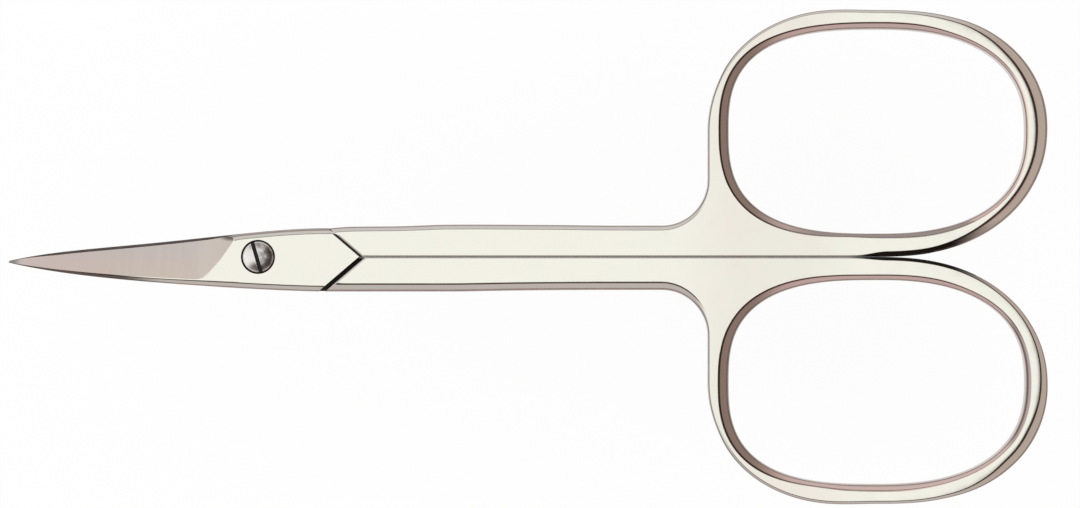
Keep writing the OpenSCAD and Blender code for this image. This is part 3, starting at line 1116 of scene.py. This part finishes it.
def thread_tree():
    """Geometry nodes that wind a ridge of triangular section round a core and join the two."""
    tree = bpy.data.node_groups.new("screw_thread", "GeometryNodeTree")
    for name in ("Radius", "Pitch", "Depth", "Start", "End"):
        tree.interface.new_socket(name=name, in_out="INPUT", socket_type="NodeSocketFloat")
    tree.interface.new_socket(name="Geometry", in_out="OUTPUT", socket_type="NodeSocketGeometry")
    given = tree.nodes.new("NodeGroupInput").outputs
    length = calculate(tree, "SUBTRACT", given["End"], given["Start"])
    turns = calculate(tree, "SUBTRACT", calculate(tree, "DIVIDE", length, given["Pitch"]), 1.0)
    ridge_r = times(tree, given["Depth"], ridge_share)
    middle_r = calculate(tree, "SUBTRACT", given["Radius"], ridge_r)
    core_r = calculate(tree, "SUBTRACT", given["Radius"], given["Depth"])
    half_pitch, half_length = times(tree, given["Pitch"], 0.5), times(tree, length, 0.5)
    helix = add_node(tree, "GeometryNodeCurveSpiral", {
        "Resolution": THREAD_STEPS, "Rotations": turns, "Start Radius": middle_r,
        "End Radius": middle_r, "Height": times(tree, turns, given["Pitch"])})
    upright = add_node(tree, "GeometryNodeSetCurveNormal", {"Curve": helix}, mode="Z_UP")
    section = add_node(tree, "GeometryNodeCurvePrimitiveCircle", {"Resolution": 3, "Radius": ridge_r})
    outward = {"Geometry": section, "Rotation": (0, 0, math.pi)}
    section = add_node(tree, "GeometryNodeTransform", outward)
    ridge = add_node(tree, "GeometryNodeCurveToMesh", {
        "Curve": upright, "Profile Curve": section, "Fill Caps": True})
    ridge = raised(tree, ridge, calculate(tree, "ADD", given["Start"], half_pitch))
    core = add_node(tree, "GeometryNodeMeshCylinder", {
        "Vertices": ROUND_STEPS, "Radius": core_r, "Depth": length})
    core = raised(tree, core, calculate(tree, "ADD", given["Start"], half_length))
    joined = add_node(tree, "GeometryNodeMeshBoolean", {"Mesh 2": [core, ridge]},
                      operation="UNION", solver="EXACT")
    real = add_node(tree, "GeometryNodeRealizeInstances", {"Geometry": joined})
    done = add_node(tree, "GeometryNodeSetMaterial", {"Geometry": real, "Material": TURNED})
    tree.links.new(done, tree.nodes.new("NodeGroupOutput").inputs["Geometry"])
    return tree


def thread(low, high):
    """The threaded end of the screw between two heights."""
    sizes = {"Radius": thread_r, "Pitch": thread_pitch, "Depth": thread_depth}
    sizes.update({"Start": low, "End": high})
    made = mesh_object("thread", [], [], [])
    modifier = made.modifiers.new("thread", "NODES")
    modifier.node_group = thread_tree()
    for item in modifier.node_group.interface.items_tree:
        if item.in_out == "INPUT":
            modifier[item.identifier] = sizes[item.name] * MM
    graph = bpy.context.evaluated_depsgraph_get()
    mesh = bpy.data.meshes.new_from_object(made.evaluated_get(graph))
    made.modifiers.clear()
    made.data = mesh
    return made


def screw_profile(low):
    """The profile of the screw above its thread, from the axis at the low end to the dome's top."""
    dome_z = head_rim_z + head_dome - dome_r
    dome = [(r, dome_z + math.sqrt(dome_r**2 - r * r))
            for r in np.linspace(head_r - head_rounding, 0, DOME_STEPS)]
    rim_z = dome[0][1]
    inset = head_rounding_share * head_rounding
    return [
        (0, low), (bearing_r, low), (bearing_r, head_seat_z), (head_r - head_bevel, head_seat_z),
        (head_r, head_seat_z + head_bevel), (head_r, rim_z - head_rounding),
        (head_r - inset, rim_z - inset),
    ] + dome


def slot_cutter():
    """The bar that cuts the slot into the screw's head."""
    c, s = math.cos(slot_turn), math.sin(slot_turn)
    reach = 2 * head_r
    left, right = slot_offset - slot_w / 2, slot_offset + slot_w / 2
    corners = [(left, -reach), (right, -reach), (right, reach), (left, reach)]
    top = head_rim_z + head_dome
    outline = [(x * c - y * s, x * s + y * c) for x, y in corners]
    return prism("slot", outline, top - slot_depth, top + OVERLAP, CORNER)


def screw():
    """The pivot screw: domed slotted head, bearing part and thread."""
    thread_top = mid_z - face_gap / 2
    made = lathe("screw", screw_profile(thread_top), HEAD_STEPS, [TURNED])
    made = combine(made, slot_cutter(), "DIFFERENCE")
    made = combine(made, thread(end_recess, thread_top + thread_overlap), "UNION")
    finish_surface(made)
    made.name = made.data.name = "slotted_pivot_screw"
    return made


head_half = half("head_side_blade_and_bow", 1)
thread_half = half("thread_side_blade_and_bow", -1)
pivot = screw()
for piece, body, node, slot in [
    (head_half, "head_side", "head_side_half", "polished_half"),
    (thread_half, "thread_side", "thread_side_half", "polished_half"),
    (pivot, "thread_side", "pivot_screw", "screw_steel"),
]:
    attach(piece, body)
    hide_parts(node)


# Sheet, cards, light and camera

# The photograph's frame: millimetres per pixel, and the middle of the frame on the part
photo_mm = 0.0867
photo_size = (1080, 508)
middle_x, middle_y = 24.46, 0.25
lens, sensor = 180.0, 36.0
sheet_drop = 15.0
sheet_half_l = 53.0
sheet_half_w = 28.0
sheet_glow = 0.85
tent_r = 1500.0
tent_tilts = (2, 165)
TENT_RINGS = 60
TENT_TURNS = 96
EAST_DARK = (0.042, 0.026, 0.023)
SOUTH_DARK = (0.075, 0.046, 0.04)
# Shades of the cards on each side, as stops from overhead at 0 over the horizon at 0.5 to below
card_shades = {
    "east": [(0.055, 1.0), (0.066, EAST_DARK), (0.125, EAST_DARK), (0.155, (0.49, 0.40, 0.375)),
             (0.6, (0.50, 0.42, 0.40))],
    "south": [(0.065, 1.0), (0.078, SOUTH_DARK), (0.13, SOUTH_DARK), (0.16, (0.55, 0.51, 0.52)),
              (0.6, (0.53, 0.48, 0.49))],
    "north": [(0.10, 1.0), (0.11, (0.26, 0.21, 0.20)), (0.135, (0.30, 0.26, 0.25)),
              (0.17, (0.66, 0.64, 0.66)), (0.6, (0.58, 0.56, 0.58))],
    "west": [(0.2, 1.0), (0.27, 0.5), (0.34, 0.4), (0.5, 0.25), (0.6, (0.35, 0.31, 0.29))],
}
# Where one card gives way to the next, from 0 in the west or south to 1 in the east or north
card_borders = {"north": (0.4, 0.6), "west": (0.07, 0.18), "east": (0.62, 0.86)}


def white_sheet():
    """A pale sheet some way below the scissors, so that their shadow on it is faint."""
    left, right = middle_x - sheet_half_l, middle_x + sheet_half_l
    near, far = middle_y - sheet_half_w, middle_y + sheet_half_w
    corners = [(left, near), (right, near), (right, far), (left, far)]
    made = mesh_object("white_sheet", [(x, y, -sheet_drop) for x, y in corners], [(0, 1, 2, 3)], [])
    material, tree, shader, coords = new_material("white_sheet")
    shader.inputs["Roughness"].default_value = 0.9
    shader.inputs["Specular IOR Level"].default_value = 0.0
    grain = ramp(tree, noise(tree, coords, 90.0, 3.0), [(0.3, 0.985), (0.7, 0.995)])
    tree.links.new(grain, shader.inputs["Base Color"])
    path = tree.nodes.new("ShaderNodeLightPath").outputs
    seen = calculate(tree, "MAXIMUM", path["Is Camera Ray"], path["Is Glossy Ray"])
    seen = calculate(tree, "MAXIMUM", seen, path["Is Transmission Ray"])
    glow = tree.nodes.new("ShaderNodeEmission")
    lit = tree.nodes.new("ShaderNodeMixShader")
    tree.links.new(times(tree, seen, sheet_glow), lit.inputs["Fac"])
    tree.links.new(shader.outputs[0], lit.inputs[1])
    tree.links.new(glow.outputs[0], lit.inputs[2])
    tree.links.new(lit.outputs[0], tree.nodes["Material Output"].inputs["Surface"])
    made.data.materials.append(material)
    return made


def card_tent():
    """A tent of studio cards round the scissors, which only the metal mirrors."""
    points, faces = [], []
    for i in range(TENT_RINGS + 1):
        tilt = math.radians(mix(*tent_tilts, i / TENT_RINGS))
        for j in range(TENT_TURNS):
            a = 2 * math.pi * j / TENT_TURNS
            flat = tent_r * math.sin(tilt)
            points.append((flat * math.cos(a), flat * math.sin(a), tent_r * math.cos(tilt)))
    for i in range(TENT_RINGS):
        upper, lower = i * TENT_TURNS, (i + 1) * TENT_TURNS
        for j in range(TENT_TURNS):
            k = (j + 1) % TENT_TURNS
            faces.append((upper + j, lower + j, lower + k, upper + k))
    made = mesh_object("card_tent", points, faces, [studio_cards()])
    for seen in ("camera", "diffuse", "shadow", "transmission", "volume_scatter"):
        setattr(made, "visible_" + seen, False)
    return made


def studio_cards():
    """Shades of the tent by direction: white overhead, a dark strip, then brown or pale cards."""
    material = bpy.data.materials.new("studio_cards")
    material.use_nodes = True
    tree = material.node_tree
    tree.nodes.clear()
    split = tree.nodes.new("ShaderNodeSeparateXYZ")
    tree.links.new(tree.nodes.new("ShaderNodeTexCoord").outputs["Object"], split.inputs[0])
    x, y, z = split.outputs
    flat = calculate(tree, "SQRT", calculate(tree, "ADD", times(tree, x, x), times(tree, y, y)))
    tilt = calculate(tree, "DIVIDE", calculate(tree, "ARCTAN2", flat, z), math.pi)
    east = calculate(tree, "MULTIPLY_ADD", calculate(tree, "DIVIDE", x, flat), 0.5, 0.5)
    north = calculate(tree, "MULTIPLY_ADD", calculate(tree, "DIVIDE", y, flat), 0.5, 0.5)
    shades = {name: ramp(tree, tilt, stops) for name, stops in card_shades.items()}
    to_north = two_tone(tree, north, 0.0, 1.0, card_borders["north"])
    past_west = two_tone(tree, east, 0.0, 1.0, card_borders["west"])
    to_east = two_tone(tree, east, 0.0, 1.0, card_borders["east"])
    across = blend(tree, to_north, shades["south"], shades["north"])
    shade = blend(tree, past_west, shades["west"], across)
    shade = blend(tree, to_east, shade, shades["east"])
    glow = tree.nodes.new("ShaderNodeEmission")
    out = tree.nodes.new("ShaderNodeOutputMaterial")
    tree.links.new(shade, glow.inputs["Color"])
    tree.links.new(glow.outputs[0], out.inputs["Surface"])
    return material


white_sheet()
card_tent()

world = bpy.data.worlds.new("soft_white")
world.use_nodes = True
world.node_tree.nodes["Background"].inputs["Color"].default_value = (1, 1, 1, 1)
world.node_tree.nodes["Background"].inputs["Strength"].default_value = 1.0
bpy.context.scene.world = world

camera = bpy.data.objects.new("camera", bpy.data.cameras.new("camera"))
camera.data.lens = lens
camera.data.sensor_width = sensor
camera_height = photo_size[0] * photo_mm * lens / sensor
camera.location = Vector((middle_x, middle_y, camera_height + joint_t)) * MM
bpy.context.scene.collection.objects.link(camera)
bpy.context.scene.camera = camera

view = bpy.context.scene.view_settings
view.view_transform = "Standard"
